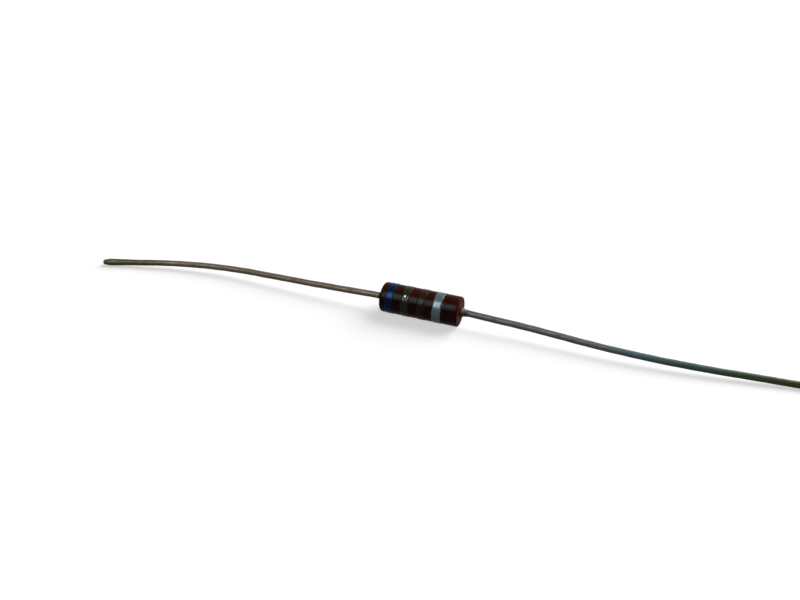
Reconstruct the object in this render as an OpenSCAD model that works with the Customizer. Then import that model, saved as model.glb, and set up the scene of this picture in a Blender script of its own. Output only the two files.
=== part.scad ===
// Half-watt carbon composition resistor with axial wire leads, lying on a flat surface.
// A carbon element is moulded inside a phenolic jacket, and each lead is one piece of tinned
// copper wire whose headed end is locked in the element. Four painted bands give the value.
// The body lies along X with +Z up, and the origin is the middle of the body, on its axis.
// The surface that it lies on touches the bands from below and the two ends of the wire.

/* [Jacket] */
// Length of the jacket between its end faces
body_len = 9.53; // [8.5:0.01:11]
// Outer diameter of the jacket
body_d = 3.56; // [3.2:0.01:4.2]
// Thickness of the jacket round the element
side_wall = 0.83; // [0.5:0.01:0.95]
// Thickness of the jacket beyond each end of the element
end_wall = 1.1; // [0.6:0.05:1.5]
// Radius of the jacket's rim at the left end
left_rim_r = 0.35; // [0.1:0.01:0.35]
// Radius of the jacket's rim at the right end
right_rim_r = 0.22; // [0.1:0.01:0.5]

/* [Collars] */
// Diameter of the left collar where it grows out of the end face
left_collar_d = 1.06; // [0.95:0.01:1.4]
// Length of the left collar along the wire
left_collar_len = 0.5; // [0.3:0.05:0.9]
// Diameter of the right collar where it grows out of the end face
right_collar_d = 1.24; // [0.95:0.01:1.4]
// Length of the right collar along the wire
right_collar_len = 0.85; // [0.3:0.05:0.9]
// Thickness of both collars at the thin end
collar_lip = 0.04; // [0.02:0.01:0.08]

/* [Wire] */
// Diameter of the wire
wire_d = 0.76; // [0.6:0.01:0.84]
// Length of each lead outside the jacket, measured along the wire
lead_len = 38.1; // [37:0.1:60]
// Straight wire between each end face and the bend that lets the lead down
exit_straight = 1; // [0.9:0.1:1.5]
// Radius of the bend that lets each lead down to the surface
droop_bend_r = 6; // [3:1:12]
// Radius of the rounded edge at the right lead's cut end
cut_edge_r = 0.08; // [0.04:0.01:0.2]

/* [Left lead bends] */
// Straight wire before the left lead's long first bend
left_straight_1 = 3.5; // [1:0.5:4]
// Radius of the left lead's first bend
left_bend_r_1 = 250; // [100:10:260]
// Angle of the left lead's first bend, toward +Y where positive
left_bend_angle_1 = 1.5; // [0.5:0.1:1.6]
// Straight wire between the left lead's two bends
left_straight_2 = 6; // [2:0.5:6.5]
// Radius of the left lead's second bend
left_bend_r_2 = 50; // [20:1:52]
// Angle of the left lead's second bend, toward +Y where positive
left_bend_angle_2 = -16.2; // [-17:0.1:-8]

/* [Left lead tip] */
// Diameter of the swollen tip of the left lead
tip_d = 0.88; // [0.86:0.01:1.1]
// Length of the swollen tip, from where it has its full diameter to the end
tip_len = 1.3; // [1.1:0.1:2.6]
// Length over which the wire swells to the tip's diameter
tip_taper_len = 2.6; // [0.3:0.1:3]
// Length over which the tip narrows to its nose, the nose included
tip_nose_len = 0.9; // [0.5:0.1:1]
// Diameter of the tip's nose
tip_nose_d = 0.68; // [0.62:0.01:0.8]
// Radius of the nose's rounded rim
tip_nose_r = 0.28; // [0.1:0.01:0.3]

/* [Right lead bends] */
// Straight wire before the right lead's first bend
right_straight_1 = 5; // [2:0.5:8]
// Radius of the right lead's first bend
right_bend_r_1 = 85; // [40:5:120]
// Angle of the right lead's first bend, toward +Y where positive
right_bend_angle_1 = -2.9; // [-4:0.1:-1]
// Straight wire between the right lead's two bends
right_straight_2 = 2; // [1:0.5:5]
// Radius of the right lead's second bend
right_bend_r_2 = 95; // [40:5:110]
// Angle of the right lead's second bend, toward +Y where positive
right_bend_angle_2 = 9.9; // [5:0.1:11]

/* [Lead anchors] */
// Length of each lead inside the element, head included
grip_len = 1.5; // [1.1:0.05:2.5]
// Diameter of the head upset on the wire
head_d = 1.3; // [1.1:0.05:1.5]
// Thickness of the head
head_t = 0.36; // [0.26:0.02:0.5]
// Radius of the head's rounded rim
head_rim_r = 0.12; // [0.05:0.01:0.12]
// Number of grip rings rolled into the wire behind the head
grip_rings = 2; // [1:1:3]
// Diameter of the grip rings
grip_ring_d = 0.98; // [0.9:0.02:1.05]
// Width of each grip ring at its foot
grip_ring_w = 0.24; // [0.1:0.02:0.26]

/* [Element] */
// Radius of the element's rounded ends
element_rim_r = 0.18; // [0.05:0.01:0.3]

/* [Colour bands] */
// Distance from the left end face to the middle of the first band
first_band_at = 1.26; // [0.85:0.01:1.6]
// Distance between the middles of neighbouring bands
band_pitch = 1.93; // [1.4:0.01:2.1]
// Width of the three bands that give the value
band_w = 1; // [0.6:0.05:1]
// Width of the band that gives the tolerance
tolerance_band_w = 1.1; // [0.6:0.05:1.3]
// Thickness of the paint
paint_t = 0.03; // [0.01:0.005:0.06]
// Width of the thin sloping edge on each side of a band
paint_edge = 0.06; // [0.02:0.01:0.1]

/* [Fits] */
// Gap between a moulded piece and what it is moulded round
moulding_gap = 0.01; // [0:0.005:0.03]

/* [Hidden] */

// Sides of the round body, of the wire and of a full turn of a wire bend
$fn = 96;
wire_sides = 32;
bend_sides = 360;

// Largest turn of a wire's heading that is made at once, in degrees
heading_step = acos(0.995);

// Radii and half lengths that several pieces share
body_r = body_d / 2;
half_body = body_len / 2;
wire_r = wire_d / 2;
tip_r = tip_d / 2;
nose_r = tip_nose_d / 2;
cavity_r = body_r - side_wall;
half_cavity = half_body - end_wall;

// Depth of the surface below the body's axis
rest_depth = body_r + paint_t;

// How far a collar's profile reaches back into the end wall that it grows out of
collar_root = end_wall / 2;

// Angle from which the droop of a lead is worked out, in degrees
droop_guess = 2;

// Sideways bends of each lead, in order outward: straight before the bend, radius, angle. Both
// leads are drawn leaving the right end, and the left one is then turned half a turn, so its
// angles change sign here
left_bends = [[left_straight_1, left_bend_r_1, -left_bend_angle_1],
              [left_straight_2, left_bend_r_2, -left_bend_angle_2]];
right_bends = [[right_straight_1, right_bend_r_1, right_bend_angle_1],
               [right_straight_2, right_bend_r_2, right_bend_angle_2]];

// Lengths and angles that are worked out are rounded to a thousandth, where a joint depends on them
function thousandth(value) = round(value * 1000) / 1000;
function millionth(value) = round(value * 1000000) / 1000000;

// Length of an arc, and of all the wire that a list of bends takes up
function arc_len(r, angle) = r * abs(angle) * PI / 180;
function bends_len(bends, i = 0) =
    i == len(bends) ? 0 : bends[i][0] + arc_len(bends[i][1], bends[i][2]) + bends_len(bends, i + 1);

// How far a bent run reaches along X before its last straight, and the heading it ends on
function bends_heading(bends, i = 0) = i == len(bends) ? 0 : bends[i][2] + bends_heading(bends, i + 1);
function bends_reach(bends, i = 0, heading = 0) =
    i == len(bends) ? 0
    : bends[i][0] * cos(heading)
      + sign(bends[i][2]) * bends[i][1] * (sin(heading + bends[i][2]) - sin(heading))
      + bends_reach(bends, i + 1, heading + bends[i][2]);

// Angle by which a lead is let down so that a point on it, this far out and this thick, just
// touches the surface. The bend takes up bend_r * (1 - cos) of the drop, the run out * sin.
function droop_angle(out, thickness_r) =
    acos((droop_bend_r - rest_depth + thickness_r) / norm([droop_bend_r, out]))
    - atan2(out, droop_bend_r);

// Wire left for the last straight of a lead, once its exit, its droop and its bends are made
function last_straight(bends, droop) =
    thousandth(lead_len - exit_straight - arc_len(droop_bend_r, droop) - bends_len(bends));

// The droop takes so little wire that one correction of the guess settles both values
function settled_droop(bends, end_r, thickness_r) =
    thousandth(droop_angle(bends_reach(bends)
                           + (last_straight(bends, droop_guess) - end_r) * cos(bends_heading(bends)),
                           thickness_r));
left_droop = settled_droop(left_bends, tip_nose_len, tip_r);
right_droop = settled_droop(right_bends, cut_edge_r, wire_r);

// Turns a profile drawn as [distance along the axis, radius] about the X axis
module turned() {
    rotate([0, 90, 0]) rotate_extrude() rotate(90) mirror([0, 1]) children();
}

// Half of a turned bar from the axis outward, from x = from to x = to, with rounded rims
module bar_profile(from, to, r, from_rim, to_rim) {
    difference() {
        translate([from, 0]) square([to - from, r]);
        if (from_rim > 0) rim_corner(from, r, from_rim, 1);
        if (to_rim > 0) rim_corner(to, r, to_rim, -1);
    }
}

// What rounding takes off the corner of a bar at x = at: dir is 1 where the bar starts there
module rim_corner(at, r, rim, dir) {
    translate([at, r]) mirror([dir < 0 ? 1 : 0, 0]) difference() {
        translate([-rim, -rim]) square(2 * rim);
        translate([rim, -rim]) circle(rim);
        translate([0, -2 * rim]) square([2 * rim, rim]);
        translate([rim, -rim]) square(rim * [1, 2]);
    }
}

// Concave skirt of moulding compound that climbs the wire from x = at, as wide as root_r there
module collar_profile(at, root_r, length, dir) {
    tip = wire_r + collar_lip;
    rise = root_r - tip;
    hollow_r = (length * length + rise * rise) / (2 * rise);
    translate([at, 0]) mirror([dir < 0 ? 1 : 0, 0]) difference() {
        translate([-collar_root, 0]) square([length + collar_root, root_r]);
        translate([length, tip + hollow_r]) circle(hollow_r, $fn = bend_sides);
    }
}

// The part of a lead that is held in the body, with its head at x = 0 and the end face at
// x = grip_len + end_wall. Extra is added all round it to make the cavity that holds it.
module anchor_profile(length, extra = 0) {
    ring_step = (grip_len - head_t) / (grip_rings + 1);
    bar_profile(-extra, length + extra, wire_r + extra, 0, 0);
    bar_profile(-extra, head_t + extra, head_d / 2 + extra, head_rim_r, head_rim_r);
    for (i = [1:grip_rings])
        translate([head_t + i * ring_step, 0])
            polygon([[-grip_ring_w / 2 - extra, 0], [-grip_ring_w / 2 - extra, wire_r + extra],
                     [-grip_ring_w / 4 - extra, grip_ring_d / 2 + extra],
                     [grip_ring_w / 4 + extra, grip_ring_d / 2 + extra],
                     [grip_ring_w / 2 + extra, wire_r + extra], [grip_ring_w / 2 + extra, 0]]);
}

// Straight wire along X from the origin
module wire(length) {
    rotate([0, 90, 0]) cylinder(h = length, r = wire_r, $fn = wire_sides);
}

// Bend that starts at the origin along X and turns toward +Y, or toward -Y if angle is negative
module wire_bend(r, angle) {
    rotate([angle < 0 ? 180 : 0, 0, 0]) translate([0, r, 0]) rotate([0, 0, -90])
        rotate_extrude(angle = abs(angle), $fn = bend_sides)
            translate([r, 0]) circle(wire_r, $fn = wire_sides);
}

// Puts its children where such a bend ends, turned to its new heading. The whole thousandths
// of the move come first and the rest after, so that what is put there meets the bend exactly
module after_bend(r, angle) {
    end = [r * sin(abs(angle)), sign(angle) * r * (1 - cos(angle)), 0];
    whole = [for (value = end) thousandth(value)];
    translate(whole) translate(end - whole) turn_heading(angle) children();
}

// Turns the heading by steps whose cosines are whole millionths, and last by the little that is
// left, so that turning leaves a piece exactly as thick as the one that it meets
module turn_heading(angle) {
    step = sign(angle) * min(heading_step, acos(millionth(cos(angle))));
    if (step != 0) {
        rotate([0, 0, step]) turn_heading(angle - step) children();
    } else {
        rotate([0, 0, angle]) children();
    }
}

// A run of straights and sideways bends in the plane of the lead, with its children at the end
module wire_run(bends, i = 0) {
    if (i < len(bends)) {
        wire(bends[i][0]);
        translate([bends[i][0], 0, 0]) {
            wire_bend(bends[i][1], bends[i][2]);
            after_bend(bends[i][1], bends[i][2]) wire_run(bends, i + 1) children();
        }
    } else {
        children();
    }
}

// A whole lead that leaves the right end of the body: anchor, exit, droop, bends, last straight
module lead(bends, droop) {
    anchor_len = grip_len + end_wall;
    translate([half_body - anchor_len, 0, 0])
        turned() anchor_profile(anchor_len + exit_straight);
    translate([half_body + exit_straight, 0, 0]) {
        rotate([-90, 0, 0]) wire_bend(droop_bend_r, droop);
        rotate([-90, 0, 0]) after_bend(droop_bend_r, droop) rotate([90, 0, 0])
            wire_run(bends) children();
    }
}

// Last straight of the left lead, which swells slowly and then narrows to a rounded nose
module swollen_end(length) {
    swell_at = length - tip_len;
    narrow_at = length - tip_nose_len;
    nose_at = length - tip_nose_r;
    turned() {
        bar_profile(0, swell_at, wire_r, 0, 0);
        polygon([[swell_at - tip_taper_len, 0], [swell_at - tip_taper_len, wire_r],
                 [swell_at, tip_r], [narrow_at, tip_r], [nose_at, nose_r], [nose_at, 0]]);
        bar_profile(narrow_at, length, nose_r, 0, tip_nose_r);
    }
}

// Last straight of the right lead, which ends where it was cut
module cut_end(length) {
    turned() bar_profile(0, length, wire_r, 0, cut_edge_r);
}

// Paint ring seated on the jacket, its middle this far from the left end face
module band(at, width) {
    left = at - half_body - width / 2;
    right = left + width;
    turned() polygon([[left, body_r], [left + paint_edge, body_r + paint_t],
                      [right - paint_edge, body_r + paint_t], [right, body_r]]);
}

// Moulded jacket with a collar round each wire, hollow where the element and the wires lie
module insulating_jacket() {
    color([0.27, 0.08, 0.05]) turned() difference() {
        union() {
            bar_profile(-half_body, half_body, body_r, left_rim_r, right_rim_r);
            collar_profile(-half_body, left_collar_d / 2, left_collar_len, -1);
            collar_profile(half_body, right_collar_d / 2, right_collar_len, 1);
        }
        bar_profile(-half_cavity, half_cavity, cavity_r, element_rim_r, element_rim_r);
        translate([-half_body - 2 * left_collar_len, 0])
            square([body_len + 2 * (left_collar_len + right_collar_len), wire_r + moulding_gap]);
    }
}

// Slug of carbon composition, with the cavity of one lead's anchor in each end
module resistive_element() {
    half_len = half_cavity - moulding_gap;
    color([0.13, 0.13, 0.13]) turned() difference() {
        bar_profile(-half_len, half_len, cavity_r - moulding_gap, element_rim_r, element_rim_r);
        for (side = [0, 1])
            mirror([side, 0]) translate([half_cavity - grip_len, 0])
                anchor_profile(2 * grip_len, moulding_gap);
    }
}

module left_lead() {
    color([0.62, 0.61, 0.56]) rotate([0, 0, 180])
        lead(left_bends, left_droop) swollen_end(last_straight(left_bends, left_droop));
}

module right_lead() {
    color([0.6, 0.62, 0.62])
        lead(right_bends, right_droop) cut_end(last_straight(right_bends, right_droop));
}

module first_digit_band() {
    color([0.08, 0.2, 0.5]) band(first_band_at, band_w);
}

module second_digit_band() {
    color([0.42, 0.44, 0.4]) band(first_band_at + band_pitch, band_w);
}

module multiplier_band() {
    color([0.4, 0.19, 0.08]) band(first_band_at + 2 * band_pitch, band_w);
}

module tolerance_band() {
    color([0.72, 0.74, 0.76]) band(first_band_at + 3 * band_pitch, tolerance_band_w);
}

insulating_jacket();
resistive_element();
left_lead();
right_lead();
first_digit_band();
second_digit_band();
multiplier_band();
tolerance_band();
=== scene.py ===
"""Dresses a moulded carbon composition resistor: jacket, painted bands and bent wire leads.

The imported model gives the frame, and the part lies on the surface at the bottom of its box. Each
piece that shows is turned or swept here again with fine steps, at the sizes of the real part.
Sizes are written in millimetres, and the meshes are in metres.
"""

from __future__ import annotations

import logging
import math
from dataclasses import dataclass
from enum import Enum
from typing import Sequence

import bpy
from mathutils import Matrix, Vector


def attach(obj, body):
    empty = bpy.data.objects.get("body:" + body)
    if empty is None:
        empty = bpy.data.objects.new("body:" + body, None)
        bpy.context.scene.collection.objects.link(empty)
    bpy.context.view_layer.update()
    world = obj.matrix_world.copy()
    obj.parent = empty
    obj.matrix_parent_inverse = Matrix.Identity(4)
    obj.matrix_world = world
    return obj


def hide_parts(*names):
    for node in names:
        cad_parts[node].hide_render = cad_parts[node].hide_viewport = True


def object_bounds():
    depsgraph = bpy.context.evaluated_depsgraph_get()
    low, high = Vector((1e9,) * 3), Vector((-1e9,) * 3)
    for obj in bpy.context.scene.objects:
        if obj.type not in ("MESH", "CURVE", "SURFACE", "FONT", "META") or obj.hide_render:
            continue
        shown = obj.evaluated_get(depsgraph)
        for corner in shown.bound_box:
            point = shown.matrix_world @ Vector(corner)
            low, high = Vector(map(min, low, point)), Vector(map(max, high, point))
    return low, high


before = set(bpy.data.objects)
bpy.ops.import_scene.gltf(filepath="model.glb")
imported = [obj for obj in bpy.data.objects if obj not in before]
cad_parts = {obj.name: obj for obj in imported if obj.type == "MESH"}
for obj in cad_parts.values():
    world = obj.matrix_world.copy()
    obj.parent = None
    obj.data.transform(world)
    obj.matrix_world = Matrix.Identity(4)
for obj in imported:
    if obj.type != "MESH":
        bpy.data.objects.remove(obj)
CAD_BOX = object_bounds()

MM = 0.001
LOG = logging.getLogger("resistor")

# Sizes that several pieces share, in mm
HALF_BODY = 4.765
BODY_R = 1.78
END_WALL = 1.1
WIRE_R = 0.38
MOULDING_GAP = 0.01

# Number of sides that the jacket and the paint on it have
BODY_SIDES = 256

# Angle of an arc's point that lies nearest to the axis, in degrees
TOWARD_AXIS = 270

Colour = tuple[float, float, float]
Point = tuple[float, float, float]
ProfilePoint = tuple[float, float]
Span = tuple[float, float]

WHITE: Colour = (1.0, 1.0, 1.0)


class Slot(Enum):
    """The record's material slots, whose names the bands' paints take for their materials."""

    JACKET = "jacket_phenolic"
    CARBON = "carbon_composition"
    WIRE = "tinned_wire"
    BLUE = "blue_paint"
    GREY = "grey_paint"
    BROWN = "brown_paint"
    SILVER = "silver_paint"


class Side(Enum):
    """The two ends of the body, with the direction along X that each one faces."""

    LEFT = -1
    RIGHT = 1


class OuterEnd(Enum):
    """How the outer end of a lead is finished."""

    SWOLLEN = "swollen and rounded by a dip in solder"
    CUT = "cut off square"


class Way(Enum):
    """The two kinds of bend in a lead: down to the surface, and sideways over it."""

    DOWN = "down"
    SIDEWAYS = "sideways"


@dataclass(frozen=True)
class Ripple:
    """A smooth wavering value made of a few sine waves.

    Attributes:
        size: Largest value that it can reach.
        waves: Pairs of how often a wave repeats in a turn and where it starts, in radians.
    """

    size: float
    waves: tuple[tuple[float, float], ...]

    def at(self, angle: float) -> float:
        """Returns the value at an angle in radians."""
        total = sum(math.sin(often * angle + start) for often, start in self.waves)
        return self.size * total / len(self.waves)


@dataclass(frozen=True)
class Wave:
    """One of the waves that make up the uneven coat of a wire.

    Attributes:
        length: Its length along the wire.
        turns: How many times it goes round the wire.
        crest: Distance along the wire of one of its crests.
    """

    length: float
    turns: int
    crest: float

    def at(self, along: float, angle: float) -> float:
        """Returns its height, from -1 to 1, this far along the wire and at this angle round it."""
        return math.cos(2 * math.pi * (along - self.crest) / self.length + self.turns * angle)


@dataclass(frozen=True)
class Coat:
    """The uneven tin on a wire that was dipped hot.

    Attributes:
        start: Distance along the wire where the coat starts.
        end: Distance along the wire where it ends.
        waves: The waves that it is made of.
        depth: How far it stands above and below the wire's own surface.
        fade: Length over which it starts and ends.
    """

    start: float
    end: float
    waves: tuple[Wave, ...]
    depth: float = 0.018
    fade: float = 2.0

    def at(self, along: float, angle: float) -> float:
        """Works out how far the coat stands above the wire's own surface.

        Args:
            along: Distance along the wire.
            angle: Angle round the wire, in radians.

        Returns:
            The height, less than nothing where the coat is thin.
        """
        heights = [wave.at(along, angle) for wave in self.waves]
        inside = min(along - self.start, self.end - along) / self.fade
        return self.depth * min(1, max(0, inside)) * sum(heights) / len(heights)


class Profile:
    """The outline of a turned piece, as points of distance along the axis and radius, in mm."""

    def __init__(self, along: float, radius: float) -> None:
        """Starts the outline at this distance along the axis and this radius."""
        self.points: list[ProfilePoint] = [(along, radius)]

    def line(self, along: float, radius: float, step: float = math.inf) -> Profile:
        """Draws a straight stretch.

        Args:
            along: Distance of its end along the axis.
            radius: Radius at its end.
            step: Longest piece that the stretch is divided into.

        Returns:
            This profile, so that calls can follow each other.
        """
        from_along, from_radius = self.points[-1]
        length = math.hypot(along - from_along, radius - from_radius)
        parts = max(1, math.ceil(length / step))
        for part in range(1, parts + 1):
            share = part / parts
            self.points.append(
                (from_along + (along - from_along) * share, from_radius + (radius - from_radius) * share)
            )
        return self

    def arc(self, centre: ProfilePoint, start: float, end: float, parts: int = 8) -> Profile:
        """Draws an arc that starts where the outline stands.

        Args:
            centre: Centre of the arc.
            start: Angle at which it starts, in degrees, counted from the axis direction.
            end: Angle at which it ends.
            parts: Number of straight parts that stand for it.

        Returns:
            This profile, so that calls can follow each other.
        """
        at_along, at_radius = self.points[-1]
        radius = math.hypot(at_along - centre[0], at_radius - centre[1])
        for part in range(1, parts + 1):
            angle = math.radians(start + (end - start) * part / parts)
            self.points.append(
                (centre[0] + radius * math.cos(angle), centre[1] + radius * math.sin(angle))
            )
        return self

    def rim(self, along: float, radius: float, rounding: float, outward: bool) -> Profile:
        """Rounds the corner of a bar, onto its side or off it.

        Args:
            along: Where the bar's flat end is.
            radius: Radius of the bar.
            rounding: Radius of the rounded corner.
            outward: True where the outline climbs from the flat end onto the side.

        Returns:
            This profile, so that calls can follow each other.
        """
        if outward:
            return self.arc((along + rounding, radius - rounding), 180, 90)
        return self.arc((along - rounding, radius - rounding), 90, 0)


def turned(vector: Vector, axis: Vector, angle: float) -> Vector:
    """Turns a vector about an axis.

    Args:
        vector: The vector.
        axis: Direction of the axis, 1 long.
        angle: Angle in radians.

    Returns:
        The turned vector.
    """
    rest = axis * axis.dot(vector)
    return rest + (vector - rest) * math.cos(angle) + axis.cross(vector) * math.sin(angle)


@dataclass(frozen=True)
class Place:
    """A place on a centreline, with the directions in which a ring round it is drawn.

    Attributes:
        point: Where it is, in mm.
        along: Direction that the line has there.
        side: Direction in which the ring's first point lies.
        up: Direction in which the ring's point after a quarter turn lies.
    """

    point: Vector
    along: Vector
    side: Vector
    up: Vector


@dataclass(frozen=True)
class Bend:
    """A bend in a wire.

    Attributes:
        radius: Radius of the centreline.
        angle: Angle that it turns by in degrees, toward the wire's left where positive.
        way: Whether the wire is bent down or sideways.
    """

    radius: float
    angle: float
    way: Way = Way.SIDEWAYS

    @property
    def length(self) -> float:
        """Length of wire in the bend."""
        return self.radius * math.radians(abs(self.angle))


@dataclass(frozen=True)
class Stretch:
    """One straight or bend of a centreline.

    Attributes:
        begin: Distance along the line where it starts.
        end: Distance along the line where it ends.
        start: Place where it starts.
        bend: The bend, or None on a straight.
    """

    begin: float
    end: float
    start: Place
    bend: Bend | None

    def at(self, distance: float) -> Place:
        """Finds a place on the stretch, which goes on as it is past its ends.

        Args:
            distance: Distance from the start of the line.

        Returns:
            The place at that distance.
        """
        start, bend = self.start, self.bend
        moved = distance - self.begin
        if bend is None:
            return Place(start.point + start.along * moved, start.along, start.side, start.up)
        turn = math.copysign(moved / bend.radius, bend.angle)
        toward = -start.up if bend.way is Way.DOWN else start.side
        axis = start.along.cross(toward)
        centre = start.point + toward * math.copysign(bend.radius, bend.angle)
        return Place(
            centre + turned(start.point - centre, axis, turn),
            turned(start.along, axis, turn),
            turned(start.side, axis, turn),
            turned(start.up, axis, turn),
        )


class Centreline:
    """The line that a wire follows: straights and true arcs that meet without a corner."""

    def __init__(self, start: Vector, along: Vector) -> None:
        """Starts the line.

        Args:
            start: First point, in mm.
            along: Direction that the line starts in, level with the surface.
        """
        up = Vector((0, 0, 1))
        self.here = Place(start, along.normalized(), up.cross(along).normalized(), up)
        self.length = 0.0
        self.stretches: list[Stretch] = []

    def _add(self, length: float, bend: Bend | None = None) -> None:
        """Adds a straight, or a bend, to the end of the line.

        Args:
            length: Its length.
            bend: The bend, or None for a straight.
        """
        stretch = Stretch(self.length, self.length + length, self.here, bend)
        self.stretches.append(stretch)
        self.length = stretch.end
        self.here = stretch.at(stretch.end)

    def straight(self, length: float) -> None:
        """Adds a straight of this length."""
        self._add(length)

    def bend(self, bend: Bend) -> None:
        """Adds a bend."""
        self._add(bend.length, bend)

    def at(self, distance: float) -> Place:
        """Finds a place on the line, or past its ends on the first or last stretch made longer.

        Args:
            distance: Distance from the start of the line.

        Returns:
            The place at that distance.
        """
        for stretch in self.stretches:
            if distance <= stretch.end:
                return stretch.at(distance)
        return self.stretches[-1].at(distance)


class Turning:
    """Makes a mesh by carrying a profile round a centreline.

    Attributes:
        STRAIGHTENED: Name of the mesh's attribute that holds each point's place before the
            centreline was bent, in mm.
        SHARP_TURN: Smallest turn of the profile that is kept as a sharp edge.
        SAME_POINT: Largest distance between two points that count as one, in mm.
    """

    STRAIGHTENED = "straightened"
    SHARP_TURN = math.radians(32)
    SAME_POINT = 1e-9

    def __init__(self, name: str, profile: Profile, line: Centreline, sides: int) -> None:
        """Keeps what the piece is made from.

        Args:
            name: Name of the piece.
            profile: Its outline. It is closed where it ends on its first point, and otherwise
                it starts and ends on the axis.
            line: The line that it is carried round.
            sides: Number of sides of a full turn.
        """
        self.name = name
        self.line = line
        self.sides = sides
        points = profile.points
        self.closed = math.dist(points[0], points[-1]) < self.SAME_POINT
        self.rings = points[:-1] if self.closed else points

    def build(self, shift: Sequence[Ripple] = (), coat: Coat | None = None) -> bpy.types.Object:
        """Makes the mesh and its object.

        Args:
            shift: Ripples that move the first and the last half of the profile along the
                axis, as a function of the angle round it.
            coat: The uneven coat on it, if it has one.

        Returns:
            The new object.
        """
        vertices: list[Vector] = []
        straightened: list[Point] = []
        starts: list[int] = []
        middle = (min(ring[0] for ring in self.rings) + max(ring[0] for ring in self.rings)) / 2
        for along, radius in self.rings:
            starts.append(len(vertices))
            count = self.sides if radius > 0 else 1
            for side in range(count):
                angle = 2 * math.pi * side / self.sides
                moved = along
                if shift:
                    moved += shift[0 if along < middle else 1].at(angle)
                place = self.line.at(moved)
                grown = radius + (coat.at(along, angle) if coat and radius > 0 else 0)
                ring = (place.side * math.cos(angle) + place.up * math.sin(angle)) * grown
                vertices.append((place.point + ring) * MM)
                straightened.append((moved, grown * math.cos(angle), grown * math.sin(angle)))
        mesh = bpy.data.meshes.new(self.name)
        mesh.from_pydata(vertices, [], self._faces(starts))
        self._sharpen(mesh, starts)
        attribute = mesh.attributes.new(self.STRAIGHTENED, "FLOAT_VECTOR", "POINT")
        attribute.data.foreach_set("vector", [value for point in straightened for value in point])
        mesh.validate()
        piece = bpy.data.objects.new(self.name, mesh)
        bpy.context.scene.collection.objects.link(piece)
        return piece

    def _faces(self, starts: Sequence[int]) -> list[tuple[int, ...]]:
        """Lists the faces between neighbouring rings.

        Args:
            starts: Index of each ring's first vertex.

        Returns:
            The vertices of each face.
        """
        faces: list[tuple[int, ...]] = []
        steps = len(self.rings) if self.closed else len(self.rings) - 1
        for step in range(steps):
            after_step = (step + 1) % len(self.rings)
            first, second = starts[step], starts[after_step]
            for side in range(self.sides):
                after = (side + 1) % self.sides
                if self.rings[step][1] <= 0:
                    faces.append((first, second + after, second + side))
                elif self.rings[after_step][1] <= 0:
                    faces.append((first + side, first + after, second))
                else:
                    faces.append((first + side, first + after, second + after, second + side))
        return faces

    def _sharpen(self, mesh: bpy.types.Mesh, starts: Sequence[int]) -> None:
        """Shades the mesh smooth and keeps the profile's corners sharp.

        Args:
            mesh: The mesh.
            starts: Index of each ring's first vertex.
        """
        mesh.polygons.foreach_set("use_smooth", [True] * len(mesh.polygons))
        sharp_vertices: set[int] = set()
        count = len(self.rings)
        for ring in range(count):
            if not self.closed and ring in (0, count - 1):
                continue
            before, here, after = self.rings[ring - 1], self.rings[ring], self.rings[(ring + 1) % count]
            turn_in = math.atan2(here[1] - before[1], here[0] - before[0])
            turn_out = math.atan2(after[1] - here[1], after[0] - here[0])
            turn = abs(math.remainder(turn_out - turn_in, 2 * math.pi))
            if turn > self.SHARP_TURN:
                sharp_vertices.update(range(starts[ring], starts[ring] + self.sides))
        for edge in mesh.edges:
            low, high = sorted(edge.vertices)
            if low in sharp_vertices and high in sharp_vertices:
                edge.use_edge_sharp = high - low in (1, self.sides - 1)


@dataclass(frozen=True)
class Pattern:
    """Cloudy noise on a surface, in its colour or its relief.

    Attributes:
        scale: How many clouds, or cells, there are to a mm.
        layers: How many finer layers it has.
        harshness: How strong the finer layers are.
        stretch: What X, Y and Z are multiplied by first, where the clouds are drawn out.
        low: Height of the noise up to which none of it shows.
        high: Height of the noise from which it shows in full.
        strength: How strongly it shows in full.
        depth: Depth of its relief, in mm.
    """

    scale: float
    layers: float = 3
    harshness: float = 0.55
    stretch: Point | None = None
    low: float = 0.0
    high: float = 1.0
    strength: float = 1.0
    depth: float = 0.0


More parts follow.
